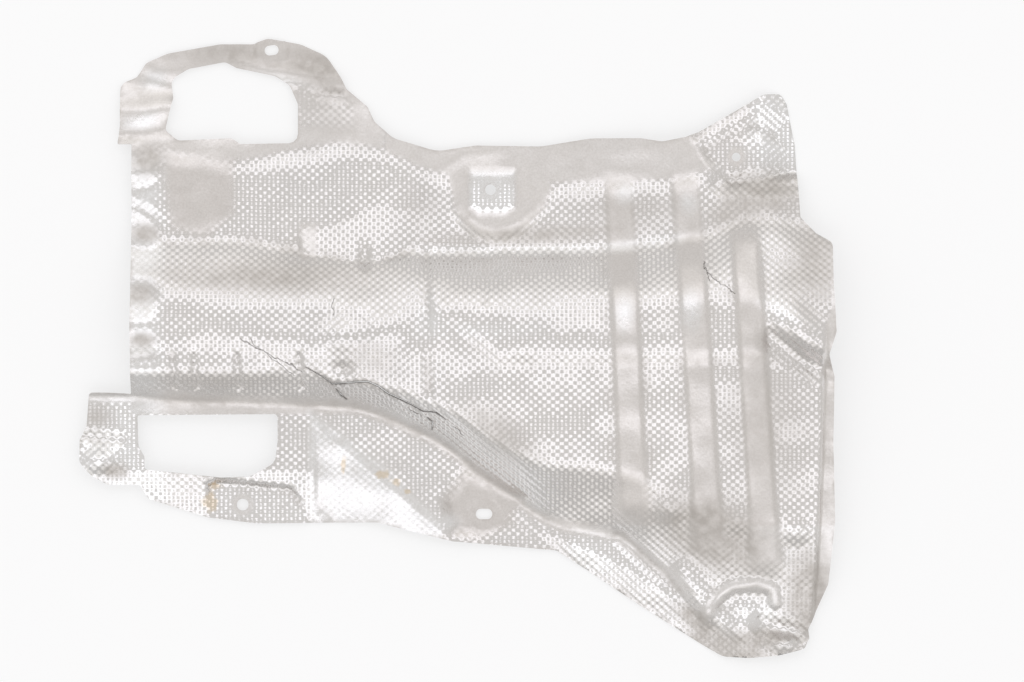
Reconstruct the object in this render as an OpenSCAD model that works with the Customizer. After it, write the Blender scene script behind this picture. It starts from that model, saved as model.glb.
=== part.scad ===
/* [Sheet] */
// Thickness of the aluminium sheet
sheet_t = 0.9; // [0.8:0.1:1.2]
// Rise of the tunnel crown, as a share of its full height
crown_rise = 1; // [0.8:0.05:1.1]
// Fall of the rims towards the floor, in millimetres for each millimetre of width
rim_fall = 0.27; // [0.2:0.01:0.3]

/* [Beads] */
// Height of the three stiffening beads
bead_h = 3; // [2:0.5:6]
// Width of a bead's flat top
bead_top_w = 15; // [12:0.5:17]
// Width of each sloping side of a bead
bead_side_w = 6.5; // [4:0.5:7]

/* [Bosses] */
// Depth level of the recess round the middle boss
recess_level = 6; // [4:0.5:8]
// Height of the square pad in the recess
boss_pad_h = 2.5; // [1.5:0.5:4]
// Level of the eye shaped pocket
eye_level = 1.6; // [1:0.2:3]
// Level of the pad round the lower left hole
low_pad_level = 2.6; // [1.6:0.2:4]
// Height of the corner dome
corner_dome_h = 6; // [4:0.5:8]

/* [Cracks] */
// Width of the cracks where they gape most
crack_w = 1.1; // [0.8:0.1:1.6]

/* [Holes] */
// Bore of the hole in the middle boss
boss_bore_d = 9; // [6:0.5:11]
// Bore of the hole in the right ear
ear_bore_d = 7.4; // [5:0.2:9]
// Bore of the hole in the lower left pad
pad_bore_d = 10; // [6:0.5:11]
// Width of the slot in the loop
loop_slot_w = 8.5; // [6:0.5:10]
// Length of the slot in the loop
loop_slot_l = 12; // [11:0.5:14]
// Width of the slot in the eye shaped pocket
eye_slot_w = 9; // [6:0.5:10]
// Length of the slot in the eye shaped pocket
eye_slot_l = 14; // [11:0.5:16]

/* [Hidden] */

// Height of the cutting prisms, steps in a rounded corner, and facets round a hole
cut_h = 300;
arc_steps = 3;
hole_fn = 32;

// Radius of the bends between the flats of the tunnel's section
bend_r = 6;

// Levels, heights and slopes of the smaller forms
lowest_level = 0.4;
left_end_x = -277;
crown_step_h = 3;
crown_step_blend = 9;
crown_step_fade_y = [40, 80];
diagonal_fall_share = 0.8;
slant_fall_share = 1.25;
slant_level = 0.6;
bar_end_x = [-124, -116];
slant_start_x = [20, 80];
loop_droop = 0.08;
loop_droop_y = 172;
loop_droop_x = [-80, -50];
bead_flare = 2;
bead_shoulder_share = 0.6;
bead_shoulder_y = [50, 100];
crumple_end_x = [-262, -246];
edge_drop_y = [-20, 30];
upper_fold_h = 3;
upper_fold_w = 9;
crown_fall = 3;
ramp_slope = 0.22;
ramp_left_x = -133;
plateau_h = 1;
ear_level = 9;
ear_slope = 0.05;
ear_fold_x = 259;
ear_fall = 0.3;
loop_level = 1.5;
corner_welt_h = 3.5;
corner_welt_w = 8;
ear_flat_r = 13;
loop_flat_r = 12;
eye_flat_r = 13;
right_edge_drop = 5;

// Places of the holes
boss_hole = [28.5, 134.3];
ear_hole = [237, 162];
pad_hole = [-182, -133];
loop_slot = [-157.5, 253];
eye_slot = [23, -141];
loop_slot_turn = 8;

// The trimmed edge and the two cut-outs: corners with their rounding radii
outline = [
    [-276, 173, 1], [-288, 173, 1], [-286, 189, 4], [-286, 224, 8], [-272, 230, 6], [-264, 242, 8],
    [-246, 250, 20], [-201, 258, 25], [-173, 258, 10], [-161, 263, 12], [-133, 258, 25], [-111, 248, 20],
    [-99, 230, 8], [-94, 220, 8], [-76, 205, 8], [-70, 192, 10], [-54, 178, 20], [-17, 167, 30],
    [16, 172, 30], [71, 171, 60], [114, 178, 60], [156, 178, 30], [174, 175, 15], [194, 179, 5],
    [205, 183, 6], [238, 202, 20], [260, 215, 10], [275, 216, 6], [280, 207, 5], [287, 172, 15],
    [289, 143, 8], [291, 111, 3], [304, 97, 10], [318, 89, 6], [318, 54, 20], [320, 14, 2], [314, -5, 6],
    [319, -24, 4], [318, -78, 20], [320, -146, 20], [315, -200, 6], [298, -239, 3], [299, -246, 3],
    [295, -255, 3], [272, -261, 10], [248, -263, 15], [226, -262, 15], [205, -250, 5], [156, -219, 20],
    [102, -183, 10], [85, -172, 8], [-4, -164, 3], [-68, -148, 10], [-170, -149, 10], [-211, -144, 10],
    [-262, -128, 5], [-269, -116, 3], [-296, -116, 8], [-309, -109, 8], [-320, -97, 8], [-320, -78, 5],
    [-314, -66, 5], [-312, -38, 3], [-298, -38, 8], [-276, -39, 1]];
loop_window = [
    [-241, 212, 3], [-243, 228, 8], [-228, 237, 8], [-197, 243, 8], [-187, 238, 5], [-154, 231, 12],
    [-142, 223, 8], [-135, 207, 8], [-135, 174, 8], [-184, 173, 5], [-191, 178, 4], [-237, 176, 8],
    [-248, 185, 5]];
low_window = [
    [-271, -57, 2], [-152, -56, 3], [-152, -78, 10], [-154, -97, 10], [-175, -109, 15], [-199, -110, 15],
    [-265, -103, 3], [-265, -92, 5], [-270, -83, 5]];

// Cracks as broken lines in plan
crack_lines = [
    [[-127, -16], [-113, -24], [-105, -30], [-91, -29], [-75, -28], [-66, -32], [-58, -38], [-47, -43],
     [-37, -48], [-28, -53], [-17, -54], [-9, -60]],
    [[-102, -34], [-98, -39], [-93, -43]],
    [[-25, -58], [-20, -62], [-21, -69]]];

// Rails of the tunnel, as [x, y] in plan: where its section changes slope
flange_rail = [[-277, 182], [-255, 168], [-218, 160], [-190, 156], [-165, 160], [-130, 168], [-95, 172],
    [-70, 169], [-48, 160], [-10, 146], [30, 139], [122, 140], [185, 142], [200, 150], [320, 150]];
crest_rail = [[-277, 90], [-218, 92], [-180, 92], [-150, 84], [-31, 81], [88, 81], [139, 84], [198, 93],
    [224, 102], [250, 112], [320, 100]];
crown_rail = [[-277, 14], [-90, 12], [320, 9]];
fall_rail = [[-277, -4], [-133, -6], [-60, -10], [20, -16], [320, -17]];
brow_rail = [[-277, -20], [-133, -21], [-95, -26], [-48, -37], [-7, -52], [20, -70], [45, -86],
    [70, -98], [139, -103], [183, -122], [235, -138], [320, -150]];
right_edge = [[-230, 300], [-180, 303], [-100, 306], [20, 309], [60, 325]];
foot_rail = [[-277, -41], [-218, -46], [-95, -50], [-75, -53], [-48, -65], [-31, -72], [-7, -84],
    [9, -100], [30, -114], [54, -130], [75, -150], [139, -160], [159, -177], [176, -190], [192, -205],
    [211, -218], [320, -226]];

// Heights along the same rails, as [x, z]
flange_height = [[-277, 8], [-65, 6], [20, 5], [122, 7], [198, 14], [240, 12], [320, 8]];
crest_height = [[-277, 11], [-172, 10], [-116, 10], [-31, 14], [88, 15], [198, 20], [320, 16]];
crown_height = [[-277, 36], [-172, 40], [-75, 45], [20, 50], [198, 53], [260, 51], [320, 45]];
brow_height = [[-277, 31], [-133, 35], [-48, 38], [20, 40], [70, 40], [139, 41], [235, 36], [320, 30]];
foot_height = [[-277, 11], [-95, 12], [-48, 12], [9, 6], [54, 3], [88, 4], [159, 8], [211, 9], [320, 8]];

// Fold lines from which the lower rims droop
bar_fold_y = -104;
diagonal_fold = [[-103, -79], [-3, -162]];
slant_edge = [[85, -172], [205, -250]];

// Centre lines of the three beads, from their upper to their lower end
bead_lines = [[[137, 143], [150, -154]], [[193, 146], [214, -180]], [[243, 98], [262, -196]]];

// Outlines of the pressed pads and pockets, each convex and clockwise seen from above
ramp_corners = [[-150, 101], [-96, 113], [-78, 116], [-60, 115], [-47, 107], [-38, 95], [-30, 76],
    [-30, 20], [-150, 20]];
plateau_corners = [[-249, 166], [-193, 158], [-191, 116], [-212, 96], [-240, 102]];
crown_step_corners = [[-24, 80], [330, 80], [330, -9], [36, -9], [-24, 40]];
recess_corners = [[-9, 149], [5, 161], [52, 161], [62, 156], [82, 137], [76, 121], [64, 106], [50, 97],
    [34, 93], [18, 96], [6, 104], [-3, 117]];
boss_corners = [[11, 150], [49, 150], [49, 120], [41, 115], [19, 115], [11, 120]];
eye_corners = [[-12, -128], [8, -99], [30, -106], [56, -122], [44, -150], [20, -162], [-4, -158]];
low_pad_corners = [[-212, -116], [-204, -112], [-140, -118], [-133, -128], [-128, -142], [-128, -170],
    [-212, -170]];
ear_corners = [[198, 180], [238, 224], [310, 224], [310, 150], [232, 138], [222, 148], [212, 158]];

// Creases, as [end, end, half width, height]; a groove has a negative height
creases = [
    // Upright fold of the lower left flange
    [[-117, -60], [-117, -140], 9, 1.4],
    // Right ear and the valley under it
    [[222, 140], [290, 141], 14, -4], [[207, 174], [250, 198], 9, 2],
    // Right end of the tunnel
    [[264, 8], [316, -24], 16, -6],
    // Lower right corner
    [[258, -233], [290, -243], 13, -5], [[139, -160], [205, -226], 10, -2.5],
    [[192, -190], [215, -226], 16, 5],
    // Left tab
    [[-322, -74], [-285, -78], 8, -3],
    // Loop
    [[-190, 243], [-100, 228], 10, 3], [[-190, 232], [-100, 214], 9, -2], [[-142, 220], [-96, 221], 8, 2],
    [[-290, 207], [-243, 214], 9, 3], [[-290, 222], [-243, 228], 10, -3],
    [[-272, 242], [-240, 234], 11, 3], [[-290, 190], [-245, 200], 10, -2.5],
    [[-193, 262], [-193, 236], 6, -1],
    // Upper wall of the tunnel
    [[-27, 78], [-24, -36], 8, -2], [[24, 74], [24, 40], 8, -1.5],
    // Buckles along the brow of the tunnel's lower wall
    for (x = [-240, -222, -186, -133]) [[x, -9], [x + 2, -27], 8, -2.5]];

// Dents and bulges, as [centre, [half length, half width], turn, height]
dents = [
    [[290, 17], [42, 22], -31, 7], [[179, -136], [20, 15], 0, 3.5], [[235, -146], [21, 15], 0, 3.5],
    [[288, -156], [20, 15], 0, 3.5], [[278, -250], [22, 12], 0, 6], [[-303, -95], [21, 14], 0, 6],
    [[-97, 12], [26, 20], 0, 3], [[-60, 18], [26, 20], 0, 2.5], [[-96, -18], [15, 10], 0, -3],
    [[-78, 77], [9, 17], 0, -4], [[20, -20], [60, 40], 0, -2],
    [[242, 72], [24, 40], 0, 3], [[21, -140], [34, 20], 0, 1.6], [[-12, 24], [13, 22], 0, 2]];

// Crumples across the left strip, as [y, slope, half width, height]
crumples = [[148, 0.18, 9, 3], [124, -0.36, 9, -3.5], [108, -0.25, 7, 3], [92, -0.14, 6, -3],
    [48, -0.1, 10, -4], [24, 0.07, 12, 4], [3, 0.21, 9, -4], [-14, 0.1, 9, 3.5]];

// Corner dome and the arched welt pressed round it
corner_dome = [243, -231];
corner_dome_size = [25, 21];
corner_welt = [[210, -226], [223, -209], [234, -202], [254, -200], [268, -204], [270, -216]];

// Columns of the formed blank, as [x at the top, x at the bottom]; those on the beads lean with them
columns = [
    for (x = [-324, -304, -288, -278, -270, -262, -254, -246]) [x, x],
    for (x = [-234 : 12 : -42]) [x, x],
    for (x = [-32, -22, -11, -3, 4, 11, 19, 28, 38, 47, 54, 62, 72, 84, 98, 111]) [x, x + 4],
    for (line = bead_lines) let (half = bead_top_w / 2)
        for (d = [-half - bead_side_w, -half, half, half + bead_side_w]) [line[0].x + d, line[1].x + d],
    [160, 174], [170, 188], [218, 239], [267, 283], [279, 292], [291, 300], [301, 305], [307, 309],
    [324, 324]];
column_x = sorted(columns);
top_y = 145;
bottom_y = -190;

// Rows of the blank between neighbouring rails, from the lower edge to the upper edge
row_counts = [8, 6, 7, 3, 10, 6, 7];
low_edge = [[-330, -134], [-215, -152], [-60, -154], [0, -170], [85, -178], [205, -256], [320, -268]];
high_edge = [[-330, 268], [-110, 268], [-50, 184], [190, 184], [225, 222], [320, 222]];

function smooth(a, b, v) = let (t = min(1, max(0, (v - a) / (b - a)))) t * t * (3 - 2 * t);
function mix(a, b, t) = a + (b - a) * t;
function unit(v) = v / norm(v);
function sum(list) = [for (v = list) 1] * list;
function sorted(list) = len(list) < 2 ? list : let (key = list[0].x)
    concat(sorted([for (v = list) if (v.x < key) v]), [for (v = list) if (v.x == key) v],
        sorted([for (v = list) if (v.x > key) v]));

// Distance from a point to a segment, and to the right hand side of the line through it
function reach(p, a, b) =
    let (d = b - a, t = min(1, max(0, ((p - a) * d) / (d * d)))) norm(p - a - t * d);
function beyond(p, a, b) = let (d = unit(b - a)) (p.x - a.x) * d.y - (p.y - a.y) * d.x;
function depth_in(p, corners) = let (n = len(corners))
    min([for (i = [0 : n - 1]) beyond(p, corners[i], corners[(i + 1) % n])]);

// A rail or a height at one x, with the corners of its broken line eased
function eased(x, table) = sum([for (k = [-2 : 2]) lookup(x + 8 * k, table)]) / 5;

// Section of the tunnel at one x, as [y, z] corners from the lower flange to the upper one; the upper
// wall is a parabola from the crown to the crest
function section(x) =
    let (flange = eased(x, flange_rail), crest = eased(x, crest_rail), crown = eased(x, crown_rail),
         fall = eased(x, fall_rail), zf = eased(x, flange_height), zr = eased(x, crest_height),
         zc = crown_rise * eased(x, crown_height))
    [[eased(x, foot_rail), eased(x, foot_height)], [eased(x, brow_rail), eased(x, brow_height)],
     [fall, zc - crown_fall], [mix(fall, crown, 0.6), zc - crown_fall / 8], [crown, zc],
     for (t = [0.3, 0.5, 0.7, 0.85, 1]) [mix(crown, crest, t), mix(zc, zr, t * t)],
     [flange - upper_fold_w, zf + upper_fold_h], [flange, zf]];
function tunnel(p) = let (s = section(p.x))
    sum([for (k = [-2 : 2]) (abs(k) == 2 ? 1 : 2) * lookup(p.y + k * bend_r / 2, s)]) / 8
        + crown_step_h * smooth(-crown_step_blend, crown_step_blend, depth_in(p, crown_step_corners))
            * smooth(crown_step_fade_y[1], crown_step_fade_y[0], p.y);

// Lower flange, drooping to the floor from its fold lines
function low_flange(p) =
    let (level = eased(p.x, foot_height), bar = rim_fall * max(0, bar_fold_y - p.y),
         diagonal = diagonal_fall_share * rim_fall * max(0, beyond(p, diagonal_fold[0], diagonal_fold[1])),
         droop = mix(bar, diagonal, smooth(bar_end_x[0], bar_end_x[1], p.x)),
         from_edge = max(0, -beyond(p, slant_edge[0], slant_edge[1])),
         slant = slant_level + slant_fall_share * rim_fall * from_edge)
    max(lowest_level, mix(level - droop, min(level, slant), smooth(slant_start_x[0], slant_start_x[1], p.x)));
function upper_droop(p) =
    loop_droop * max(0, p.y - loop_droop_y) * smooth(loop_droop_x[1], loop_droop_x[0], p.x);

function bead(p, top, bottom) =
    let (t = (p.y - top.y) / (bottom.y - top.y), d = abs(p.x - mix(top.x, bottom.x, t)),
         side = bead_side_w * mix(1, bead_flare, smooth(0.75, 1, t)),
         share = mix(bead_shoulder_share, 1, smooth(bead_shoulder_y[1], bead_shoulder_y[0], p.y)))
    bead_h * share * smooth(bead_top_w / 2 + side, bead_top_w / 2, d) * smooth(-0.04, 0.04, t)
        * smooth(1.03, 0.92, t);
function crease(p, c) = c[3] * smooth(c[2], 0, reach(p, c[0], c[1]));
function dent(p, d) =
    let (q = p - d[0], along = [cos(d[2]), sin(d[2])], across = [-along.y, along.x])
    d[3] * smooth(1, 0, norm([q * along / d[1].x, q * across / d[1].y]));
function crumple(p, c) =
    c[3] * smooth(c[2], 0, abs(p.y - c[0] - c[1] * (p.x - left_end_x)))
        * smooth(crumple_end_x[1], crumple_end_x[0], p.x);
function pressed(z, p, corners, level, outside, inside) =
    mix(z, level, smooth(-outside, inside, depth_in(p, corners)));
function flat_round(z, p, centre, r, level) = mix(level, z, smooth(r, r + 4, norm(p - centre)));

// Patch of the shoulder that leans up against the tunnel
function ramped(z, p) =
    let (ramp = eased(p.x, crest_height) - 1 + ramp_slope * depth_in(p, ramp_corners))
    max(z, mix(z, ramp, smooth(ramp_left_x - 3, ramp_left_x + 3, p.x)));

// Forms of the lower right corner and the strip bent down along the right edge
function cornered(z, p) =
    let (from_welt = min([for (i = [1 : len(corner_welt) - 1]) reach(p, corner_welt[i - 1], corner_welt[i])]),
         welt = corner_welt_h * smooth(corner_welt_w, 0, from_welt),
         edge = right_edge_drop * smooth(0, 4, p.x - lookup(p.y, right_edge))
            * smooth(edge_drop_y[1], edge_drop_y[0], p.y))
    z + welt + dent(p, [corner_dome, corner_dome_size, 0, corner_dome_h]) - edge;

// Height of the middle of the sheet over the floor, before its lowest parts are laid on the floor
function relief(p) =
    let (base = mix(low_flange(p), tunnel(p), smooth(-4, 4, p.y - eased(p.x, foot_rail))) - upper_droop(p),
         ribbed = ramped(base, p) + sum([for (line = bead_lines) bead(p, line[0], line[1])])
            + plateau_h * smooth(-8, 8, depth_in(p, plateau_corners)),
         recessed = pressed(ribbed, p, recess_corners, recess_level, 6, 9)
            + boss_pad_h * smooth(-4, 4, depth_in(p, boss_corners)),
         pocketed = pressed(recessed, p, eye_corners, eye_level, 7, 10),
         padded = pressed(pocketed, p, low_pad_corners, low_pad_level, 2, 2),
         ear = ear_level - ear_slope * (p.x - ear_hole.x + p.y - ear_hole.y)
            - ear_fall * max(0, p.x - ear_fold_x),
         creased = pressed(padded, p, ear_corners, ear, 4, 5) + sum([for (c = creases) crease(p, c)])
            + sum([for (c = crumples) crumple(p, c)]) + sum([for (d = dents) dent(p, d)]),
         round_ear = flat_round(cornered(creased, p), p, ear_hole, ear_flat_r, ear_level),
         round_loop = flat_round(round_ear, p, loop_slot, loop_flat_r, loop_level))
    flat_round(round_loop, p, eye_slot, eye_flat_r, eye_level);
function laid(p) = sheet_t / 2 + max(0, relief(p));

// Nodes of the formed blank: rows follow the rails, columns lean with the beads
function rail_ys(x) = [lookup(x, low_edge), eased(x, foot_rail), eased(x, brow_rail), eased(x, fall_rail),
    eased(x, crown_rail), eased(x, crest_rail), eased(x, flange_rail), lookup(x, high_edge)];
function row_y(x, k, t) = let (ys = rail_ys(x)) mix(ys[k], ys[k + 1], t);
function node_at(column, k, t) =
    let (share = (row_y(column.x, k, t) - bottom_y) / (top_y - bottom_y), x = mix(column.y, column.x, share))
    [x, row_y(x, k, t)];
rows = [for (k = [0 : len(row_counts) - 1]) for (i = [0 : row_counts[k] - 1]) [k, i / row_counts[k]],
    [len(row_counts) - 1, 1]];
nx = len(column_x);
ny = len(rows);
nodes = [for (row = rows) for (column = column_x)
    let (p = node_at(column, row[0], row[1])) [p.x, p.y, laid(p)]];
function node_by(i, j) = nodes[max(0, min(ny - 1, j)) * nx + max(0, min(nx - 1, i))];
function node_normal(i, j) =
    unit(cross(node_by(i + 1, j) - node_by(i - 1, j), node_by(i, j + 1) - node_by(i, j - 1)));
function skin(side) = [for (j = [0 : ny - 1]) for (i = [0 : nx - 1])
    node_by(i, j) + side * sheet_t / 2 * node_normal(i, j)];

module formed_blank() {
    n = nx * ny;
    lower = [for (j = [0 : ny - 2]) for (i = [0 : nx - 2]) let (p = j * nx + i)
        each [[p, p + 1, p + nx], [p + 1, p + nx + 1, p + nx]]];
    upper = [for (f = lower) [f[2] + n, f[1] + n, f[0] + n]];
    south = [for (i = [0 : nx - 2]) each [[i + 1, i, i + n], [i + 1, i + n, i + 1 + n]]];
    north = [for (i = [0 : nx - 2]) let (p = (ny - 1) * nx + i)
        each [[p, p + 1, p + n], [p + 1, p + 1 + n, p + n]]];
    west = [for (j = [0 : ny - 2]) let (p = j * nx) each [[p, p + nx, p + n], [p + nx, p + nx + n, p + n]]];
    east = [for (j = [0 : ny - 2]) let (p = j * nx + nx - 1)
        each [[p + nx, p, p + n], [p + nx, p + n, p + nx + n]]];
    polyhedron(concat(skin(-1), skin(1)), concat(lower, upper, south, north, west, east));
}

// Outline with every corner rounded by an arc of its own radius
function fillet(a, b, c, r) =
    let (u = unit(a - b), v = unit(c - b), half = acos(max(-1, min(1, u * v))) / 2,
         cut = min(r / tan(half), 0.45 * min(norm(a - b), norm(c - b))), radius = cut * tan(half),
         middle = b + unit(u + v) * (radius / sin(half)), p = b + u * cut - middle, q = b + v * cut - middle,
         start = atan2(p.y, p.x), turn = atan2(p.x * q.y - p.y * q.x, p * q))
    [for (i = [0 : arc_steps]) let (angle = start + turn * i / arc_steps)
        middle + radius * [cos(angle), sin(angle)]];
function rounded(corners) = let (n = len(corners))
    [for (i = [0 : n - 1]) let (a = corners[(i + n - 1) % n], b = corners[i], c = corners[(i + 1) % n])
        each fillet([a.x, a.y], [b.x, b.y], [c.x, c.y], b[2])];

// Outline of a crack: its line opened sideways, most at the middle and not at all at the ends
function gaping(line) =
    let (n = len(line) - 1,
         half = [for (i = [0 : n]) crack_w * sqrt(i / n * (1 - i / n))],
         ahead = [for (i = [0 : n]) unit(line[min(n, i + 1)] - line[max(0, i - 1)])],
         opened = [for (i = [0 : n]) half[i] * [-ahead[i].y, ahead[i].x]])
    [for (i = [0 : n]) line[i] + opened[i], for (i = [n - 1 : -1 : 1]) line[i] - opened[i]];

module trim_prism() {
    translate([0, 0, -cut_h / 2]) linear_extrude(cut_h) difference() {
        polygon(rounded(outline));
        polygon(rounded(loop_window));
        polygon(rounded(low_window));
        for (line = crack_lines) polygon(gaping(line));
    }
}

module bore(place, d) {
    translate([place.x, place.y, -cut_h / 2]) cylinder(d = d, h = cut_h, $fn = hole_fn);
}

module slot(place, turn, length, width) {
    reach = (length - width) / 2;
    translate([place.x, place.y, -cut_h / 2]) rotate([0, 0, turn]) linear_extrude(cut_h) union() {
        square([2 * reach, width], center = true);
        translate([reach, 0]) circle(d = width, $fn = hole_fn);
        translate([-reach, 0]) circle(d = width, $fn = hole_fn);
    }
}

// Pressed sheet, trimmed to its outline and pierced
module heat_shield() {
    color([0.82, 0.81, 0.78]) difference() {
        intersection() {
            formed_blank();
            trim_prism();
        }
        bore(boss_hole, boss_bore_d);
        bore(ear_hole, ear_bore_d);
        bore(pad_hole, pad_bore_d);
        slot(loop_slot, loop_slot_turn, loop_slot_l, loop_slot_w);
        slot(eye_slot, 0, eye_slot_l, eye_slot_w);
    }
}

heat_shield();
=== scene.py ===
import math

import bpy
import numpy as np
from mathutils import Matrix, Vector
from mathutils.geometry import delaunay_2d_cdt


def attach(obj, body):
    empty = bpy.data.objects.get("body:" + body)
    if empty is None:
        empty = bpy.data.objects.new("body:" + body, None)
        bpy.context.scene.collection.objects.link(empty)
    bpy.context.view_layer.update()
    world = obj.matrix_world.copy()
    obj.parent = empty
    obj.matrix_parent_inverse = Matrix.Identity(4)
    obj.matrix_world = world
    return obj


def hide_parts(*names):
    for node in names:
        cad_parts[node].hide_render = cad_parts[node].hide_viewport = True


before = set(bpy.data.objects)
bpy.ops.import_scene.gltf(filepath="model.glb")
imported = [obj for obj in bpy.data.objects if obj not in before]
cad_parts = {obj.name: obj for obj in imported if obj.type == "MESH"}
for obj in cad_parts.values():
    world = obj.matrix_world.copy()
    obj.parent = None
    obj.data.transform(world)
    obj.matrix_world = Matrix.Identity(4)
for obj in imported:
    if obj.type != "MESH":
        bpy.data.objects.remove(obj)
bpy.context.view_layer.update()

MM = 0.001


# The blank: one sheet of aluminium, sheared to a ragged outline with two cut-outs and five
# holes. Each corner is given as x, y and its rounding radius, in millimetres.
outline = [
    (-276, 173, 1), (-288, 173, 1), (-286, 189, 4), (-286, 224, 8), (-272, 230, 6), (-264, 242, 8),
    (-246, 250, 20), (-201, 258, 25), (-173, 258, 10), (-161, 263, 12), (-133, 258, 25), (-111, 248, 20),
    (-99, 230, 8), (-94, 220, 8), (-76, 205, 8), (-70, 192, 10), (-54, 178, 20), (-17, 167, 30),
    (16, 172, 30), (71, 171, 60), (114, 178, 60), (156, 178, 30), (174, 175, 15), (194, 179, 5),
    (205, 183, 6), (238, 202, 20), (260, 215, 10), (275, 216, 6), (280, 207, 5), (287, 172, 15),
    (289, 143, 8), (291, 111, 3), (304, 97, 10), (318, 89, 6), (318, 54, 20), (320, 14, 2), (314, -5, 6),
    (319, -24, 4), (318, -78, 20), (320, -146, 20), (315, -200, 6), (298, -239, 3), (299, -246, 3),
    (295, -255, 3), (272, -261, 10), (248, -263, 15), (226, -262, 15), (205, -250, 5), (156, -219, 20),
    (102, -183, 10), (85, -172, 8), (-4, -164, 3), (-68, -148, 10), (-170, -149, 10), (-211, -144, 10),
    (-262, -128, 5), (-269, -116, 3), (-296, -116, 8), (-309, -109, 8), (-320, -97, 8), (-320, -78, 5),
    (-314, -66, 5), (-312, -38, 3), (-298, -38, 8), (-276, -39, 1)]
loop_window = [
    (-241, 212, 3), (-243, 228, 8), (-228, 237, 8), (-197, 243, 8), (-187, 238, 5), (-154, 231, 12),
    (-142, 223, 8), (-135, 207, 8), (-135, 174, 8), (-184, 173, 5), (-191, 178, 4), (-237, 176, 8),
    (-248, 185, 5)]
low_window = [
    (-271, -57, 2), (-152, -56, 3), (-152, -78, 10), (-154, -97, 10), (-175, -109, 15), (-199, -110, 15),
    (-265, -103, 3), (-265, -92, 5), (-270, -83, 5)]
# Round holes as x, y, half length, half width and turn
holes = [(28.5, 134.3, 4.5, 4.5, 0), (237, 162, 3.7, 3.7, 0), (-182, -133, 5, 5, 0),
         (-157.5, 253, 6, 4.25, 8), (23, -141, 7, 4.5, 0)]
# Cracks as broken lines in plan, and their width where they gape most
crack_lines = [
    [(-127, -16), (-113, -24), (-105, -30), (-91, -29), (-75, -28), (-66, -32), (-58, -38), (-47, -43),
     (-37, -48), (-28, -53), (-17, -54), (-9, -60)],
    [(-102, -34), (-98, -39), (-93, -43)], [(-25, -58), (-20, -62), (-21, -69)]]
crack_w = 1.1
edge_step = 2.2
shortest_step = 0.25
steps_in_corner = 3
points_in_hole = 28


def rounded(corners):
    """Points round an outline whose corners are turned with an arc of their own radius."""
    points = []
    for k, (bx, by, radius) in enumerate(corners):
        b = np.array([bx, by], float)
        a = np.array(corners[k - 1][:2], float)
        c = np.array(corners[(k + 1) % len(corners)][:2], float)
        u, v = (a - b) / np.linalg.norm(a - b), (c - b) / np.linalg.norm(c - b)
        half = math.acos(max(-1, min(1, float(u @ v)))) / 2
        cut = min(radius / math.tan(half), 0.45 * min(np.linalg.norm(a - b), np.linalg.norm(c - b)))
        middle = b + (u + v) / np.linalg.norm(u + v) * (cut / math.cos(half))
        p, q = b + u * cut - middle, b + v * cut - middle
        start = math.atan2(p[1], p[0])
        turn = math.atan2(p[0] * q[1] - p[1] * q[0], float(p @ q))
        arc_r = cut * math.tan(half)
        for i in range(steps_in_corner + 1):
            angle = start + turn * i / steps_in_corner
            points.append(middle + arc_r * np.array([math.cos(angle), math.sin(angle)]))
    return np.array(points)


def stepped(points, step):
    """A closed outline with extra points, so that no side is longer than step."""
    out = []
    for a, b in zip(points, np.roll(points, -1, axis=0)):
        n = max(1, math.ceil(np.linalg.norm(b - a) / step))
        out += [a + (b - a) * i / n for i in range(n)]
    out = np.array(out)
    keep = np.linalg.norm(out - np.roll(out, 1, axis=0), axis=1) > shortest_step
    return out[keep]


def oval(x, y, long, short, turn):
    """Points round a hole with straight sides and round ends."""
    angle = np.arange(points_in_hole) * 2 * math.pi / points_in_hole
    u = short * np.cos(angle) + (long - short) * np.sign(np.cos(angle)) * (np.abs(np.cos(angle)) > 1e-6)
    v = short * np.sin(angle)
    c, s = math.cos(math.radians(turn)), math.sin(math.radians(turn))
    return np.column_stack([x + u * c - v * s, y + u * s + v * c])


def gaping(line):
    """Outline of a crack: its line opened sideways, most at the middle and not at all at the ends."""
    line = np.array(line, float)
    ahead = line[2:] - line[:-2]
    across = np.column_stack([-ahead[:, 1], ahead[:, 0]]) / np.linalg.norm(ahead, axis=1)[:, None]
    share = np.arange(1, len(line) - 1) / (len(line) - 1)
    half = crack_w / 2 * np.sqrt(4 * share * (1 - share))[:, None]
    left, right = line[1:-1] + across * half, line[1:-1] - across * half
    return np.concatenate([line[:1], left, line[-1:], right[::-1]])


edges_of_sheet = [stepped(rounded(corners), edge_step) for corners in (outline, loop_window, low_window)]
edges_of_sheet += [oval(*hole) for hole in holes]
edges_of_sheet += [stepped(gaping(line), edge_step) for line in crack_lines]


def inside_sheet(x, y):
    """True where a point lies on the sheet: an odd number of edges crossed on the way out."""
    crossed = np.zeros(x.shape, bool)
    for loop in edges_of_sheet:
        for (ax, ay), (bx, by) in zip(loop, np.roll(loop, -1, axis=0)):
            if ay != by:
                crossed ^= ((ay > y) != (by > y)) & (x < ax + (y - ay) * (bx - ax) / (by - ay))
    return crossed


def edge_distance(x, y):
    """Distance from points to the nearest trimmed edge, and a huge number where none is near."""
    near = np.full(x.shape, 1e9)
    look = 6
    for loop in edges_of_sheet:
        for a, b in zip(loop, np.roll(loop, -1, axis=0)):
            box = (np.abs(x - a[0]) < look) & (np.abs(y - a[1]) < look)
            if box.any():
                near[box] = np.minimum(near[box], reach(x[box], y[box], a, b))
    return near


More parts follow.
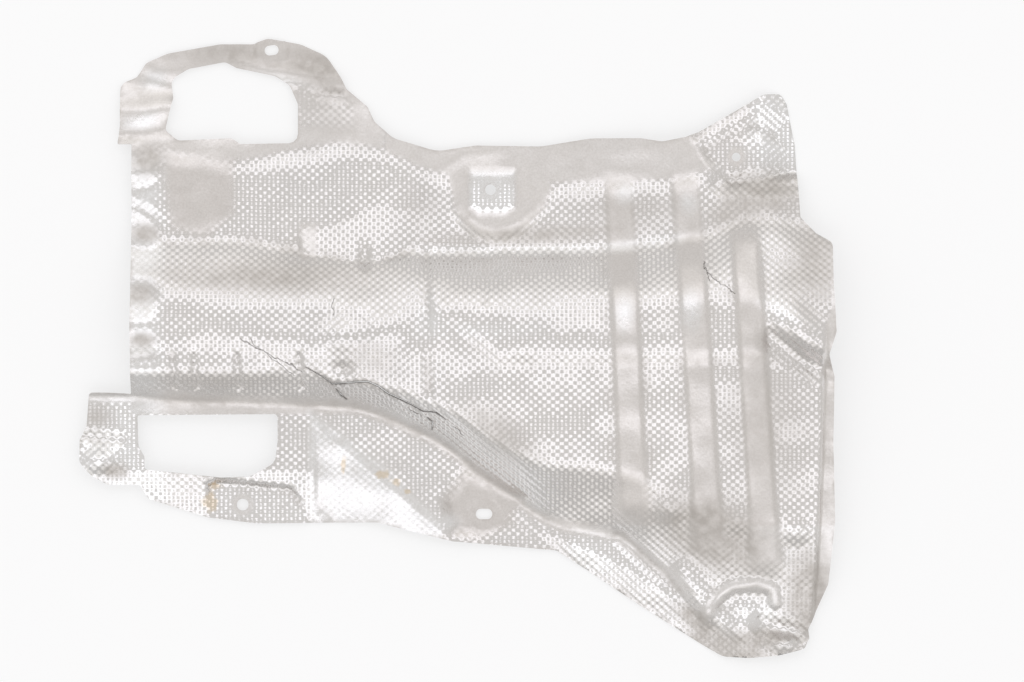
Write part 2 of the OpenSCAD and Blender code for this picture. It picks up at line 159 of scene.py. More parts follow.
# The pressed relief: a tunnel drawn along rails, with a flange above, a flaring wall and a
# drooping rim below, three beads, a boss, pads, pockets, folds and dents. It is made in one
# press stroke, and each rail or height is a list of x and value, in millimetres.
flange_rail = [(-277, 182), (-255, 168), (-218, 160), (-190, 156), (-165, 160), (-130, 168), (-95, 172),
               (-70, 169), (-48, 160), (-10, 146), (30, 139), (122, 140), (185, 142), (200, 150), (320, 150)]
crest_rail = [(-277, 90), (-218, 92), (-180, 92), (-150, 84), (-31, 81), (88, 81), (139, 84), (198, 93),
              (224, 102), (250, 112), (320, 100)]
crown_rail = [(-277, 14), (-90, 12), (320, 9)]
fall_rail = [(-277, -4), (-133, -6), (-60, -10), (20, -16), (320, -17)]
brow_rail = [(-277, -20), (-133, -21), (-95, -26), (-48, -37), (-7, -52), (20, -70), (45, -86),
             (70, -98), (139, -103), (183, -122), (235, -138), (320, -150)]
right_edge = ((-230, -180, -100, 20, 60), (300, 303, 306, 309, 325))
foot_rail = [(-277, -41), (-218, -46), (-95, -50), (-75, -53), (-48, -65), (-31, -72), (-7, -84),
             (9, -100), (30, -114), (54, -130), (75, -150), (139, -160), (159, -177), (176, -190),
             (192, -205), (211, -218), (320, -226)]
flange_height = [(-277, 8), (-65, 6), (20, 5), (122, 7), (198, 14), (240, 12), (320, 8)]
crest_height = [(-277, 11), (-172, 10), (-116, 10), (-31, 14), (88, 15), (198, 20), (320, 16)]
crown_height = [(-277, 36), (-172, 40), (-75, 45), (20, 50), (198, 53), (260, 51), (320, 45)]
brow_height = [(-277, 31), (-133, 35), (-48, 38), (20, 40), (70, 40), (139, 41), (235, 36), (320, 30)]
foot_height = [(-277, 11), (-95, 12), (-48, 12), (9, 6), (54, 3), (88, 4), (159, 8), (211, 9), (320, 8)]
bend_r = 6
sheet_t = 0.9
# The lower flange falls by this much for each millimetre past its fold
rim_fall = 0.27
bar_fold_y = -104
diagonal_fold = ((-103, -79), (-3, -162))
slant_edge = ((85, -172), (205, -250))
diagonal_fall_share, slant_fall_share, slant_level = 0.8, 1.25, 0.6
loop_droop, loop_droop_y = 0.08, 172
bead_lines = [((137, 143), (150, -154)), ((193, 146), (214, -180)), ((243, 98), (262, -196))]
bead_h, bead_top_w, bead_side_w, bead_flare = 3, 15, 6.5, 2
bead_shoulder_share, bead_shoulder_y = 0.6, (100, 50)
ramp_corners = [(-150, 101), (-96, 113), (-78, 116), (-60, 115), (-47, 107), (-38, 95), (-30, 76),
                (-30, 20), (-150, 20)]
ramp_rise = 0.22
plateau_corners = [(-249, 166), (-193, 158), (-191, 116), (-212, 96), (-240, 102)]
crown_step_corners = [(-24, 80), (330, 80), (330, -9), (36, -9), (-24, 40)]
crown_step_h, crown_step_blend, crown_step_fade_y, crown_fall = 3, 9, (80, 40), 3
recess_corners = [(-9, 149), (5, 161), (52, 161), (62, 156), (82, 137), (76, 121), (64, 106), (50, 97),
                  (34, 93), (18, 96), (6, 104), (-3, 117)]
boss_corners = [(11, 150), (49, 150), (49, 120), (41, 115), (19, 115), (11, 120)]
eye_corners = [(-12, -130), (6, -105), (26, -113), (54, -127), (44, -150), (20, -162), (-4, -158)]
low_pad_corners = [(-212, -116), (-204, -112), (-140, -118), (-133, -128), (-128, -142), (-128, -170),
                   (-212, -170)]
ear_corners = [(198, 180), (238, 224), (310, 224), (310, 150), (232, 138), (222, 148), (212, 158)]
plateau_h, recess_level, boss_pad_h, eye_level, low_pad_level = 1, 6, 2.5, 1.6, 2.6
# Folds as two ends, half width and height
creases = [
    ((-117, -60), (-117, -140), 9, 1.4),
    ((222, 140), (290, 141), 14, -4), ((207, 174), (250, 198), 9, 2), ((264, 8), (316, -24), 16, -6),
    ((258, -233), (290, -243), 13, -5), ((139, -160), (205, -226), 10, -2.5),
    ((192, -190), (215, -226), 16, 5), ((-322, -74), (-285, -78), 8, -3),
    ((-190, 243), (-100, 228), 10, 3), ((-190, 232), (-100, 214), 9, -2), ((-142, 220), (-96, 221), 8, 2),
    ((-292, 201), (-244, 204), 13, 3.2), ((-280, 230), (-240, 222), 15, -3),
    ((-290, 180), (-245, 186), 10, -2.2), ((-193, 262), (-193, 236), 6, -1),
    ((256, 210), (290, 196), 12, 2.6), ((256, 186), (290, 172), 13, -2.8),
    ((-27, 78), (-24, -36), 8, -2), ((24, 68), (24, 40), 6, -1)]
creases += [((x, -6), (x + 2, -32), 5, -2.2) for x in (-240, -222, -186, -133)]
# Dents as middle, half sizes, turn and height
dents = [
    ((290, 17), (42, 22), -31, 7), ((179, -136), (20, 15), 0, 3.5), ((235, -146), (21, 15), 0, 3.5),
    ((288, -156), (20, 15), 0, 3.5), ((278, -250), (22, 12), 0, 6), ((-303, -95), (21, 14), 0, 6),
    ((-97, 12), (26, 20), 0, 3), ((-60, 18), (26, 20), 0, 2.5), ((-96, -18), (15, 10), 0, -3),
    ((-78, 77), (9, 17), 0, -4), ((20, -20), (60, 40), 0, -2), ((242, 72), (24, 40), 0, 3),
    ((21, -140), (34, 20), 0, 1.6), ((-12, 24), (13, 22), 0, 2)]
# Folds at the ragged left end, as y there, slope, half width and height
crumples = [(148, 0.18, 15, 3.4), (118, -0.36, 14, -3.2), (94, -0.14, 10, 2.2),
            (48, -0.1, 16, -3.6), (20, 0.07, 16, 3.8), (-8, 0.1, 13, -2.6)]
corner_dome, corner_dome_size, corner_dome_h = (243, -231), (25, 21), 6
corner_welt = [(210, -226), (223, -209), (234, -202), (254, -200), (268, -204), (270, -216)]
corner_welt_h, corner_welt_w = 3.5, 8
ear_hole, loop_slot, eye_slot = (237, 162), (-157.5, 253), (23, -141)
ear_level, ear_lean, ear_bend_x, ear_bend = 9, 0.05, 259, 0.3
# Flat ground round three of the holes: middle, radius and level
hole_flats = ((ear_hole, 13, ear_level), (loop_slot, 12, 1.5), (eye_slot, 13, eye_level))
edge_drop, edge_drop_w = 5, 4
wave_share, wave_lengths = 0.0035, (26, 31, 37, 44, 52, 61, 73, 88)


def smooth(a, b, v):
    """0 before a, 1 after b, with an S shaped rise between them."""
    t = np.clip((v - a) / (b - a), 0, 1)
    return t * t * (3 - 2 * t)


def mix(a, b, t):
    """a where t is 0, b where t is 1."""
    return a + (b - a) * t


def lookup(x, table):
    """A rail or a height at x, with the corners of its broken line eased."""
    places, values = [row[0] for row in table], [row[1] for row in table]
    return sum(np.interp(x + 8 * k, places, values) for k in (-2, -1, 0, 1, 2)) / 5


def reach(x, y, a, b):
    """Distance to the segment from a to b."""
    dx, dy = b[0] - a[0], b[1] - a[1]
    t = np.clip(((x - a[0]) * dx + (y - a[1]) * dy) / (dx * dx + dy * dy), 0, 1)
    return np.hypot(x - a[0] - t * dx, y - a[1] - t * dy)


def beyond(x, y, a, b):
    """Distance to the right of the line from a to b."""
    dx, dy = b[0] - a[0], b[1] - a[1]
    return ((x - a[0]) * dy - (y - a[1]) * dx) / math.hypot(dx, dy)


def depth_in(x, y, corners):
    """Depth inside a convex outline, negative outside it."""
    return np.min([beyond(x, y, a, b) for a, b in zip(corners, corners[1:] + corners[:1])], axis=0)


def tunnel(x, y):
    """The tunnel's section, with its corners bent to a radius."""
    foot, brow, fall, crown, crest, flange = (
        lookup(x, rail) for rail in (foot_rail, brow_rail, fall_rail, crown_rail, crest_rail, flange_rail))
    z0, zb, zc, zr, zf = (
        lookup(x, row) for row in (foot_height, brow_height, crown_height, crest_height, flange_height))
    arch = (0.3, 0.5, 0.7, 0.85, 1)
    ys = [foot, brow, fall, mix(fall, crown, 0.6), crown] + [mix(crown, crest, t) for t in arch]
    ys += [flange - 9, flange]
    zs = [z0, zb, zc - crown_fall, zc - crown_fall / 8, zc] + [mix(zc, zr, t * t) for t in arch]
    zs += [zf + 3, zf]
    total = 0
    for k, weight in zip((-2, -1, 0, 1, 2), (1, 2, 2, 2, 1)):
        z = z0
        for a, b, at_a, at_b in zip(ys, ys[1:], zs, zs[1:]):
            z = z + (at_b - at_a) * np.clip((y + k * bend_r / 2 - a) / (b - a), 0, 1)
        total = total + weight * z / 8
    step = smooth(-crown_step_blend, crown_step_blend, depth_in(x, y, crown_step_corners))
    return total + crown_step_h * step * smooth(*crown_step_fade_y, y)


def formed(x, y):
    """The main forms: the tunnel, the lower flange that droops to its rim, and the upper flange."""
    level = lookup(x, foot_height)
    bar = rim_fall * np.maximum(0, bar_fold_y - y)
    diagonal = diagonal_fall_share * rim_fall * np.maximum(0, beyond(x, y, *diagonal_fold))
    droop = mix(bar, diagonal, smooth(-124, -116, x))
    slant = slant_level + slant_fall_share * rim_fall * np.maximum(0, -beyond(x, y, *slant_edge))
    low = np.maximum(0.4, mix(level - droop, np.minimum(level, slant), smooth(20, 80, x)))
    z = mix(low, tunnel(x, y), smooth(-4, 4, y - lookup(x, foot_rail)))
    return z - loop_droop * np.maximum(0, y - loop_droop_y) * smooth(-50, -80, x)


def bead_at(x, y, top, bottom, wide=0.0):
    """1 on a bead's flat top and 0 beside it."""
    t = (y - top[1]) / (bottom[1] - top[1])
    d = np.abs(x - mix(top[0], bottom[0], t))
    side_w = bead_side_w * mix(1, bead_flare, smooth(0.75, 1, t))
    side = smooth(bead_top_w / 2 + side_w + wide, bead_top_w / 2 + wide, d)
    return side * smooth(-0.04, 0.04, t) * smooth(1.03, 0.92, t)


def dent(x, y, centre, size, turn, height):
    """A soft oval swelling, highest at its middle."""
    c, s = math.cos(math.radians(turn)), math.sin(math.radians(turn))
    u, v = x - centre[0], y - centre[1]
    return height * smooth(1, 0, np.hypot((u * c + v * s) / size[0], (v * c - u * s) / size[1]))


def welt_distance(x, y):
    """Distance to the ridge that runs round the corner's dome."""
    return np.min([reach(x, y, a, b) for a, b in zip(corner_welt, corner_welt[1:])], axis=0)


def waviness(x, y):
    """Slack, shallow waves all over the sheet, from handling and heat."""
    chance = np.random.default_rng(3)
    z = 0
    for length in wave_lengths:
        for turn, start in chance.uniform(0, 2 * math.pi, (3, 2)):
            along = x * math.cos(turn) + y * math.sin(turn)
            z = z + wave_share * length * np.sin(along * 2 * math.pi / length + start)
    return z


def relief(x, y):
    """Height of the middle of the sheet above the floor."""
    z = formed(x, y) + waviness(x, y)
    ramp = lookup(x, crest_height) - 1 + ramp_rise * depth_in(x, y, ramp_corners)
    z = np.maximum(z, mix(z, ramp, smooth(-136, -130, x)))
    beads = sum(bead_h * bead_at(x, y, *line) for line in bead_lines)
    z = z + beads * mix(bead_shoulder_share, 1, smooth(*bead_shoulder_y, y))
    z = z + plateau_h * smooth(-8, 8, depth_in(x, y, plateau_corners))
    z = mix(z, recess_level, smooth(-6, 9, depth_in(x, y, recess_corners)))
    z = z + boss_pad_h * smooth(-4, 4, depth_in(x, y, boss_corners))
    z = mix(z, eye_level, smooth(-7, 10, depth_in(x, y, eye_corners)))
    z = mix(z, low_pad_level, smooth(-2, 2, depth_in(x, y, low_pad_corners)))
    ear_z = ear_level - ear_lean * (x - ear_hole[0] + y - ear_hole[1])
    ear_z = ear_z - ear_bend * np.maximum(0, x - ear_bend_x)
    z = mix(z, ear_z, smooth(-4, 5, depth_in(x, y, ear_corners)))
    z = z + sum(height * smooth(width, 0, reach(x, y, a, b)) for a, b, width, height in creases)
    z = z + sum(height * smooth(width, 0, np.abs(y - at - slope * (x + 277))) * smooth(-246, -262, x)
                for at, slope, width, height in crumples)
    z = z + sum(dent(x, y, *shape) for shape in dents)
    z = z + corner_welt_h * smooth(corner_welt_w, 0, welt_distance(x, y))
    z = z + dent(x, y, corner_dome, corner_dome_size, 0, corner_dome_h)
    edge_x = np.interp(y, *right_edge)
    z = z - edge_drop * smooth(0, edge_drop_w, x - edge_x) * smooth(30, -20, y)
    for (cx, cy), flat, level in hole_flats:
        z = mix(level, z, smooth(flat, flat + 4, np.hypot(x - cx, y - cy)))
    return sheet_t / 2 + np.maximum(0, z)


# The embossing: the flat sheet was rolled with a lattice of small round bumps and hollows
# before it was pressed, so the rows close up in plan where the sheet is steep, and the press
# ironed them flat again on the beads, the upper flange and the pads.
pitch_x, pitch_y = 7.4, 6.4
dimple_h = 0.48
left_by_ironing, height_scatter, roughness_scatter = 0.15, 0.13, 0.035
# The facet of the lower flange that was stretched smooth, and the loop's root, which keeps its dimples
smooth_facet = [(-126, -52), (-104, -58), (-58, -104), (-14, -138), (-14, -166), (-124, -158)]
loop_root = [(-140, 188), (-140, 226), (-98, 219), (-90, 205), (-88, 188)]


def flattened(x, y):
    """1 where the press has ironed the dimples flat, 0 where they stand in full."""
    flat = sum(bead_at(x, y, *line, 1.0) for line in bead_lines)
    foot = y - lookup(x, foot_rail)
    flat = flat + smooth(-7, -2, foot) * smooth(11, 5, foot) * smooth(205, 190, x)
    patch = smooth(-135, -131, x) * smooth(-117, -120, x) * smooth(72, 77, y) * smooth(108, 104, y)
    flat = flat + 0.75 * patch
    upper = y - lookup(x, flange_rail)
    flat = flat + smooth(-2, 4, upper) * (x > -60) * (1 - smooth(-3, 3, depth_in(x, y, ear_corners)))
    flat = flat + smooth(7, 3, welt_distance(x, y))
    off_boss = 1 - smooth(-2, 2, depth_in(x, y, boss_corners))
    flat = flat + smooth(0, 3, depth_in(x, y, recess_corners)) * off_boss
    flat = flat + smooth(-7, 4, depth_in(x, y, plateau_corners))
    flat = flat + smooth(-5, 8, depth_in(x, y, eye_corners))
    flat = flat + smooth(0, 6, upper) * smooth(-60, -64, x) * (0.7 + 0.3 * smooth(-262, -256, x))
    flat = flat + 0.75 * smooth(-246, -262, x) * smooth(-50, -40, y)
    flat = flat - 0.6 * smooth(-6, 6, depth_in(x, y, loop_root))
    flat = flat + 0.85 * smooth(-6, 6, depth_in(x, y, smooth_facet))
    flat = flat + smooth(0, 3, x - np.interp(y, *right_edge))
    flat = flat + smooth(-58, -54, y) * smooth(-45, -50, y) * (x < -100) * (x > -276)
    for cx, cy, long, short, turn in holes:
        flat = flat + smooth(long + 5, long + 3, np.hypot(x - cx, y - cy))
    return np.clip(flat, 0, 1)


def painted_shade(x, y):
    """1 where shade is painted into the colour as a darker grey: the left pad, the pocket, the foot and the
    beads.
    """
    foot = y - lookup(x, foot_rail)
    painted_shade_amount = 0.8 * smooth(-8, 6, depth_in(x, y, plateau_corners))
    painted_shade_amount = painted_shade_amount + 0.8 * smooth(-9, 4, depth_in(x, y, eye_corners))
    painted_shade_amount = painted_shade_amount + 0.4 * smooth(-9, -3, foot) * smooth(3, 0, foot) * smooth(60, -20, x)
    return np.clip(painted_shade_amount + 0.45 * sum(bead_at(x, y, *line) for line in bead_lines), 0, 1)


# Painted highlights: spots coloured brighter where the sheet catches the light, as middle, size, turn and
# strength
painted_highlight_spots = [
    ((20, 14), (70, 12), 0, 0.5), ((-257, 228), (18, 14), 20, 1.2), ((-268, 192), (28, 12), 10, 1.2),
    ((-150, 228), (50, 9), -12, 1), ((112, -178), (34, 14), -25, 1.2), ((280, -246), (18, 12), 20, 1.3),
    ((270, 190), (24, 30), 0, 1), ((197, 32), (14, 26), 0, 1.1), ((143, 130), (14, 14), 0, 1.2),
    ((141, 30), (12, 24), 0, 1), ((-23, 24), (16, 26), 0, 1), ((-6, -148), (14, 12), 0, 1),
    ((255, -222), (22, 16), 0, 1.2), ((272, 32), (30, 14), -30, 1), ((196, 122), (12, 14), 0, 1)]


def painted_highlight(x, y):
    """1 where a highlight is painted into the colour as brighter metal: at the left end, on the facet, the
    crest and the wall.
    """
    left_end = smooth(-240, -262, x) * smooth(170, 160, y)
    facet = smooth(-4, 4, depth_in(x, y, smooth_facet))
    crest = smooth(7, 2, np.abs(y - lookup(x, crest_rail) - 1)) * smooth(-40, -20, x) * smooth(200, 180, x)
    wall = smooth(0, 6, y - lookup(x, foot_rail)) * smooth(4, -4, y - lookup(x, brow_rail))
    wall = wall * smooth(-80, -40, x) * smooth(100, 60, x)
    low_bar = smooth(-100, -108, y) * smooth(-120, -130, x)
    boss = smooth(-3, 3, depth_in(x, y, boss_corners))
    ear = smooth(-3, 3, depth_in(x, y, ear_corners)) * smooth(238, 262, x)
    lower_edge = smooth(90, 110, x) * (y < -150)
    bright = left_end + facet + boss + ear + 0.7 * (crest + wall) + 0.4 * (low_bar + lower_edge)
    bright = bright + sum(dent(x, y, *spot) for spot in painted_highlight_spots)
    return np.clip(bright, 0, 1)


# Where a brown film of burnt dust lies on the sheet, as middle, size, turn and thickness
films = [
    ((-160, 60), (150, 24), -1, 1), ((-190, 250), (120, 30), 0, 0.9), ((-112, 232), (50, 44), 0, 0.9),
    ((-262, 160), (26, 22), 0, 1.2), ((218, -158), (90, 50), -22, 1.4), ((300, -212), (34, 70), 0, 1.4),
    ((220, -256), (90, 26), 0, 1.4), ((262, 132), (60, 40), 0, 1.1), ((302, 72), (40, 60), 0, 0.9),
    ((226, 112), (34, 22), 20, 0.8), ((38, -72), (60, 26), -38, 0.8), ((-72, -8), (40, 24), -15, 0.5),
    ((-200, -27), (90, 14), 0, 0.5), ((-268, 46), (22, 15), 0, 1.2), ((-266, 7), (20, 10), 0, 1.2),
    ((-264, 97), (22, 14), 0, 1.3), ((203, -230), (34, 14), -35, 1.3), ((262, -245), (26, 10), 0, 1.4),
    ((262, -60), (64, 110), 0, 0.6), ((-306, -58), (26, 24), 0, 0.9), ((-290, -104), (20, 12), 0, 1.3),
    ((-30, 118), (30, 34), 0, 0.4), ((70, 96), (140, 14), 3, 0.9), ((150, 118), (80, 24), 0, 0.6),
    ((-100, 190), (60, 24), -20, 0.5)]


def filmed(x, y):
    """Thickness of that film, from 0 to 1."""
    return np.clip(sum(dent(x, y, *film) for film in films), 0, 1)


# The mesh follows the lattice at a quarter of its pitch
steps_in_pitch = 4
columns, rows = np.arange(-176, 177), np.arange(-240, 241)
column_x = columns * pitch_x / steps_in_pitch
fine_y = np.arange(-275.0, 276.0, 1.0)
middle_row_y = 10
wrap_share = 0.8


def rolled_lengths():
    """Length of metal from the middle row, up each column, at each of fine_y."""
    slope = np.gradient(formed(column_x[:, None], fine_y[None, :]), 1.0, axis=1)
    along = np.cumsum(np.sqrt(1 + (wrap_share * slope) ** 2), axis=1)
    along = along - along[:, [int(np.argmin(np.abs(fine_y - middle_row_y)))]]
    nine = np.ones(9) / 9
    return np.apply_along_axis(lambda v: np.convolve(np.pad(v, 4, mode="edge"), nine, "valid"), 0, along)


rolled = rolled_lengths()


def rolled_at(x, y):
    """The same length at any points, read between the columns."""
    u = np.clip((x - column_x[0]) / (column_x[1] - column_x[0]), 0, len(columns) - 1.001)
    v = np.clip(y - fine_y[0], 0, len(fine_y) - 1.001)
    i, j = u.astype(int), v.astype(int)
    lower = mix(rolled[i, j], rolled[i + 1, j], u - i)
    return mix(lower, mix(rolled[i, j + 1], rolled[i + 1, j + 1], u - i), v - j)


def lattice():
    """Nodes of the dimple lattice at quarter pitches: plan place, and row and column numbers."""
    row_length = rows * pitch_y / steps_in_pitch
    ys = np.array([np.interp(row_length, line, fine_y, left=-999, right=999) for line in rolled])
    i, j = np.meshgrid(columns, rows, indexing="ij")
    x = np.repeat(column_x[:, None], len(rows), axis=1)
    return x.ravel(), ys.ravel(), i.ravel(), j.ravel()


def hollows(x, y):
    """How much lower a point lies than the metal round it, from 0 to 1."""
    look, full_depth = 8, 1.2
    ways = ((look, 0), (-look, 0), (0, look), (0, -look))
    round_it = sum(relief(x + dx, y + dy) for dx, dy in ways) / 4
    return np.clip((round_it - relief(x, y)) / full_depth, 0, 1)


def sheet_mesh():
    """The sheet's two skins, triangulated in plan and lifted to the relief, and its cut edges."""
    farthest_y, least_gap, fully_ironed, beside, dirty_edge_w = 274, 0.8, 0.98, 0.6, 4
    x, y, i, j = lattice()
    keep = (np.abs(y) < farthest_y) & ~((i % 2 == 1) & (j % 2 == 1))
    x, y, i, j = x[keep], y[keep], i[keep], j[keep]
    keep = inside_sheet(x, y)
    x, y, i, j = x[keep], y[keep], i[keep], j[keep]
    keep = edge_distance(x, y) > least_gap
    x, y, i, j = x[keep], y[keep], i[keep], j[keep]
    flat = flattened(x, y)
    chance = np.random.default_rng(7)
    bump = np.cos(i * math.pi / 2) * np.cos(j * math.pi / 2) * (1 - (1 - left_by_ironing) * flat)
    bump = bump * chance.normal(1, height_scatter, len(bump))
    bump = bump + chance.normal(0, roughness_scatter, len(bump))
    front = (flat < fully_ironed) | (j % 2 == 0)
    back = (j % 2 == 0) & ((flat < fully_ironed) | (i % 2 == 0))

    rim = np.concatenate(edges_of_sheet)
    rim_edges, first = [], 0
    for loop in edges_of_sheet:
        n = len(loop)
        rim_edges += [(first + k, first + (k + 1) % n) for k in range(n)]
        first += n

    def skin(mask, side):
        """One face of the sheet, on the side given as 1 or -1."""
        px = np.concatenate([rim[:, 0], x[mask]])
        py = np.concatenate([rim[:, 1], y[mask]])
        points = [Vector((float(a), float(b))) for a, b in zip(px, py)]
        made = delaunay_2d_cdt(points, rim_edges, [], 0, 1e-6)
        places = np.array([tuple(v) for v in made[0]])
        if len(places) != len(points):
            raise SystemExit("the triangulation merged points")
        tri = np.array(made[2])
        centre = places[tri].mean(axis=1)
        tri = tri[inside_sheet(centre[:, 0], centre[:, 1])]
        order = np.full(len(places), -1)
        for new, old in enumerate(made[3]):
            order[new] = old[0]
        z = relief(px, py)
        slope_x = (relief(px + beside, py) - relief(px - beside, py)) / (2 * beside)
        slope_y = (relief(px, py + beside) - relief(px, py - beside)) / (2 * beside)
        normal = np.column_stack([-slope_x, -slope_y, np.ones_like(z)])
        normal /= np.linalg.norm(normal, axis=1)[:, None]
        lift = np.concatenate([np.zeros(len(rim)), bump[mask] * dimple_h]) + side * sheet_t / 2
        verts = np.column_stack([px, py, z]) + normal * lift[:, None]
        return verts, order[tri]

    top, top_tri = skin(front, 1)
    low, low_tri = skin(back, -1)
    low_tri = low_tri[:, ::-1] + len(top)
    sides = []
    for a, b in rim_edges:
        sides += [(a, a + len(top), b + len(top)), (a, b + len(top), b)]
    crack_points = sum(len(loop) for loop in edges_of_sheet[-len(crack_lines):])
    torn = np.arange(len(rim)) >= len(rim) - crack_points
    top_x, top_y = (np.concatenate([rim[:, k], plan[front]]) for k, plan in ((0, x), (1, y)))
    low_x, low_y = (np.concatenate([rim[:, k], plan[back]]) for k, plan in ((0, x), (1, y)))
    all_x, all_y = np.concatenate([top_x, low_x]), np.concatenate([top_y, low_y])
    carried_values = {
        "ironed": flattened(all_x, all_y), "painted_shade_amount": painted_shade(all_x, all_y), "hollow": hollows(all_x, all_y),
        "rolled": rolled_at(all_x, all_y), "painted_highlight": painted_highlight(all_x, all_y),
        "filmed": filmed(all_x, all_y),
        "trimmed": np.clip(1 - edge_distance(all_x, all_y) / dirty_edge_w, 0, 1),
        "torn": np.concatenate([torn, np.zeros(front.sum()), torn, np.zeros(back.sum())])}
    verts = np.concatenate([top, low]) * MM
    faces = [tuple(f) for f in np.concatenate([top_tri, low_tri])] + sides
    mesh = bpy.data.meshes.new("embossed_sheet")
    mesh.from_pydata(verts.tolist(), [], [tuple(int(v) for v in f) for f in faces])
    mesh.update()
    for label, values in carried_values.items():
        mesh.attributes.new(label, "FLOAT", "POINT").data.foreach_set("value", values.astype(np.float32))
    return mesh


sheet = bpy.data.objects.new("embossed_sheet", sheet_mesh())
bpy.context.scene.collection.objects.link(sheet)
bpy.ops.object.select_all(action="DESELECT")
bpy.context.view_layer.objects.active = sheet
sheet.select_set(True)
bpy.ops.object.mode_set(mode="EDIT")
bpy.ops.mesh.select_all(action="SELECT")
bpy.ops.mesh.normals_make_consistent(inside=False)
bpy.ops.object.mode_set(mode="OBJECT")
sharp_degrees = 62
bpy.ops.object.shade_smooth_by_angle(angle=math.radians(sharp_degrees))
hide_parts("heat_shield")
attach(sheet, "root")


# The metal: mill-finish aluminium, bright where the embossing is whole, matt where the press
# ironed it, with a brown film of burnt dust, heat stains and cracks from years on an engine, and
# painted highlights and painted shade in its colour.
def put(tree, kind, wires, **settings):
    """A new node in tree, with each named input set to a value or wired to a socket."""
    node = tree.nodes.new(kind)
    for setting, value in settings.items():
        setattr(node, setting, value)
    for socket, value in wires.items():
        if isinstance(value, bpy.types.NodeSocket):
            tree.links.new(value, node.inputs[socket])
        else:
            node.inputs[socket].default_value = value
    return node


def sum_of(tree, operation, *values):
    """The result of one arithmetic step on two or three values."""
    return put(tree, "ShaderNodeMath", dict(enumerate(values)), operation=operation).outputs[0]


def effect(name, inputs, outputs):
    """An empty effect with named sockets, and the nodes at its two ends."""
    tree = bpy.data.node_groups.new(name, "ShaderNodeTree")
    for label, kind in inputs.items():
        tree.interface.new_socket(label, in_out="INPUT", socket_type=kind)
    for label in outputs:
        tree.interface.new_socket(label, in_out="OUTPUT", socket_type="NodeSocketFloat")
    return tree, tree.nodes.new("NodeGroupInput").outputs, tree.nodes.new("NodeGroupOutput").inputs


number, place = "NodeSocketFloat", "NodeSocketVector"

# Round dimples of the rolled lattice, sharper than the mesh can hold: small bumps and small hollows
# with flat metal between them
dimples, given, result = effect(
    "dimple lattice", {"Across": number, "Along": number, "Ironed": number}, ["Height"])
spot = put(dimples, "ShaderNodeCombineXYZ", {0: given["Across"], 1: given["Along"]}).outputs[0]
wander = put(dimples, "ShaderNodeTexNoise", {"Vector": spot, "Scale": 0.21, "Detail": 1.0}).outputs["Color"]
shift = put(dimples, "ShaderNodeSeparateXYZ", {0: wander}).outputs
waves = []
for label, pitch, move in (("Across", pitch_x, shift[0]), ("Along", pitch_y, shift[1])):
    moved = sum_of(dimples, "MULTIPLY_ADD", sum_of(dimples, "SUBTRACT", move, 0.5), 2.4, given[label])
    waves.append(sum_of(dimples, "COSINE", sum_of(dimples, "MULTIPLY", moved, 2 * math.pi / pitch)))
wave = sum_of(dimples, "MULTIPLY", *waves)
sharp = sum_of(dimples, "MULTIPLY", wave, sum_of(dimples, "ABSOLUTE", wave))
left = sum_of(dimples, "MULTIPLY_ADD", given["Ironed"], -0.9, 1.0)
dimples.links.new(sum_of(dimples, "MULTIPLY", sharp, left), result["Height"])

# Cloudy patches, from soft to sharp edged
patches, given, result = effect(
    "patches", {"Vector": place, "Scale": number, "From": number, "To": number}, ["Mask"])
cloud = put(patches, "ShaderNodeTexNoise", {"Vector": given["Vector"], "Scale": given["Scale"],
                                            "Detail": 5.0, "Roughness": 0.6}).outputs["Fac"]
edge = put(patches, "ShaderNodeMapRange",
           {"Value": cloud, "From Min": given["From"], "From Max": given["To"]},
           interpolation_type="SMOOTHSTEP").outputs[0]
patches.links.new(edge, result["Mask"])

# A stain that fades out from its middle, with a ragged edge
stain, given, result = effect("stain", {"Vector": place, "Middle": place, "Size": place}, ["Mask"])
ragged = put(stain, "ShaderNodeTexNoise", {"Vector": given["Vector"], "Scale": 160.0,
                                           "Detail": 4.0}).outputs["Fac"]
away = put(stain, "ShaderNodeVectorMath", {0: given["Vector"], 1: given["Middle"]},
           operation="SUBTRACT").outputs[0]
away = put(stain, "ShaderNodeVectorMath", {0: away, 1: given["Size"]}, operation="DIVIDE").outputs[0]
flat_away = put(stain, "ShaderNodeVectorMath", {0: away, 1: (1, 1, 0)}, operation="MULTIPLY").outputs[0]
far = put(stain, "ShaderNodeVectorMath", {0: flat_away}, operation="LENGTH").outputs["Value"]
far = sum_of(stain, "MULTIPLY_ADD", sum_of(stain, "SUBTRACT", ragged, 0.5), 2.2, far)
fade = put(stain, "ShaderNodeMapRange", {"Value": far, "From Min": 1.0, "From Max": 0.35},
           interpolation_type="SMOOTHSTEP").outputs[0]
stain.links.new(fade, result["Mask"])

# A hairline crack or a sharp small crease between two points in plan
hairline, given, result = effect(
    "hairline", {"Vector": place, "Start": place, "End": place, "Width": number}, ["Mask"])
jagged = put(hairline, "ShaderNodeTexNoise", {"Vector": given["Vector"], "Scale": 130.0,
                                              "Detail": 3.0}).outputs["Color"]
jagged = put(hairline, "ShaderNodeVectorMath", {0: jagged, 1: (0.5, 0.5, 0.5)},
             operation="SUBTRACT").outputs[0]
bent = put(hairline, "ShaderNodeVectorMath", {0: jagged, 1: (0.008, 0.008, 0), 2: given["Vector"]},
           operation="MULTIPLY_ADD").outputs[0]
bent = put(hairline, "ShaderNodeVectorMath", {0: bent, 1: (1, 1, 0)}, operation="MULTIPLY").outputs[0]
run = put(hairline, "ShaderNodeVectorMath", {0: given["End"], 1: given["Start"]},
          operation="SUBTRACT").outputs[0]
out = put(hairline, "ShaderNodeVectorMath", {0: bent, 1: given["Start"]}, operation="SUBTRACT").outputs[0]
